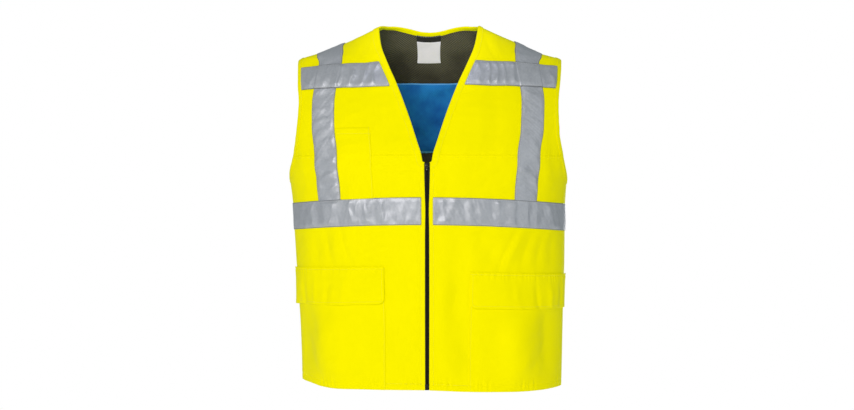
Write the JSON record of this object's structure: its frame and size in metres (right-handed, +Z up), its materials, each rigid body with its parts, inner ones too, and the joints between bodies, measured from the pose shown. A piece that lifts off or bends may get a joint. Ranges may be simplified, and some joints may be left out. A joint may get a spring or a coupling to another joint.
{
  "type": "cooling vest",
  "caption": "Sleeveless zip-front cooling vest with a V-neck, reflective tapes, lower flap pockets, a pen pocket and a mesh-lined back with a cooling panel.",
  "frame": {"origin": "midway between the neck ends of the two shoulder seams", "axes": "+Z up, the front faces -Y, the wearer's left is +X"},
  "size_m": [0.5383, 0.2658, 0.6924],
  "materials": {
    "shell": "woven hi-vis yellow polyester",
    "binding": "folded yellow binding strip",
    "tape": "grey retroreflective tape, slight sheen",
    "mesh_lining": "dark olive knitted mesh",
    "cooling_cloth": "blue knitted cooling cloth",
    "label_black": "black woven tab",
    "label_white": "white satin label",
    "zip_cloth": "black woven zip tape",
    "zip_teeth": "black nylon",
    "zip_metal": "dark painted metal, worn at the edges"
  },
  "bodies": {
    "vest": {"front_upper_left": "shell", "front_upper_right": "shell", "front_lower_left": "shell", "front_lower_right": "shell", "back_panel": "shell", "neck_binding": "binding", "armhole_binding_left": "binding", "armhole_binding_right": "binding", "brace_front_left": "tape", "brace_front_right": "tape", "brace_back_left": "tape", "brace_back_right": "tape", "chest_tape_left": "tape", "chest_tape_right": "tape", "waist_tape_front_left": "tape", "waist_tape_front_right": "tape", "waist_tape_back": "tape", "lower_pocket_left": "shell", "lower_pocket_right": "shell", "pocket_flap_left": "shell", "pocket_flap_right": "shell", "chest_pocket": "shell", "back_lining": "mesh_lining", "cooling_panel": "cooling_cloth", "label_tab": "label_black", "care_label": "label_white", "zip_tape_left": "zip_cloth", "zip_tape_right": "zip_cloth", "zip_teeth": "zip_teeth", "zip_slider": "zip_metal", "zip_box": "zip_teeth"},
    "puller": {"zip_puller": "zip_metal"}
  },
  "joints": [
    {"name": "zip_puller_swing", "type": "hinge", "parent": "vest", "child": "puller", "pos_m": [0, -0.1417, -0.26815], "axis": [-1, 0, 0], "range_deg": [0, 170]}
  ]
}
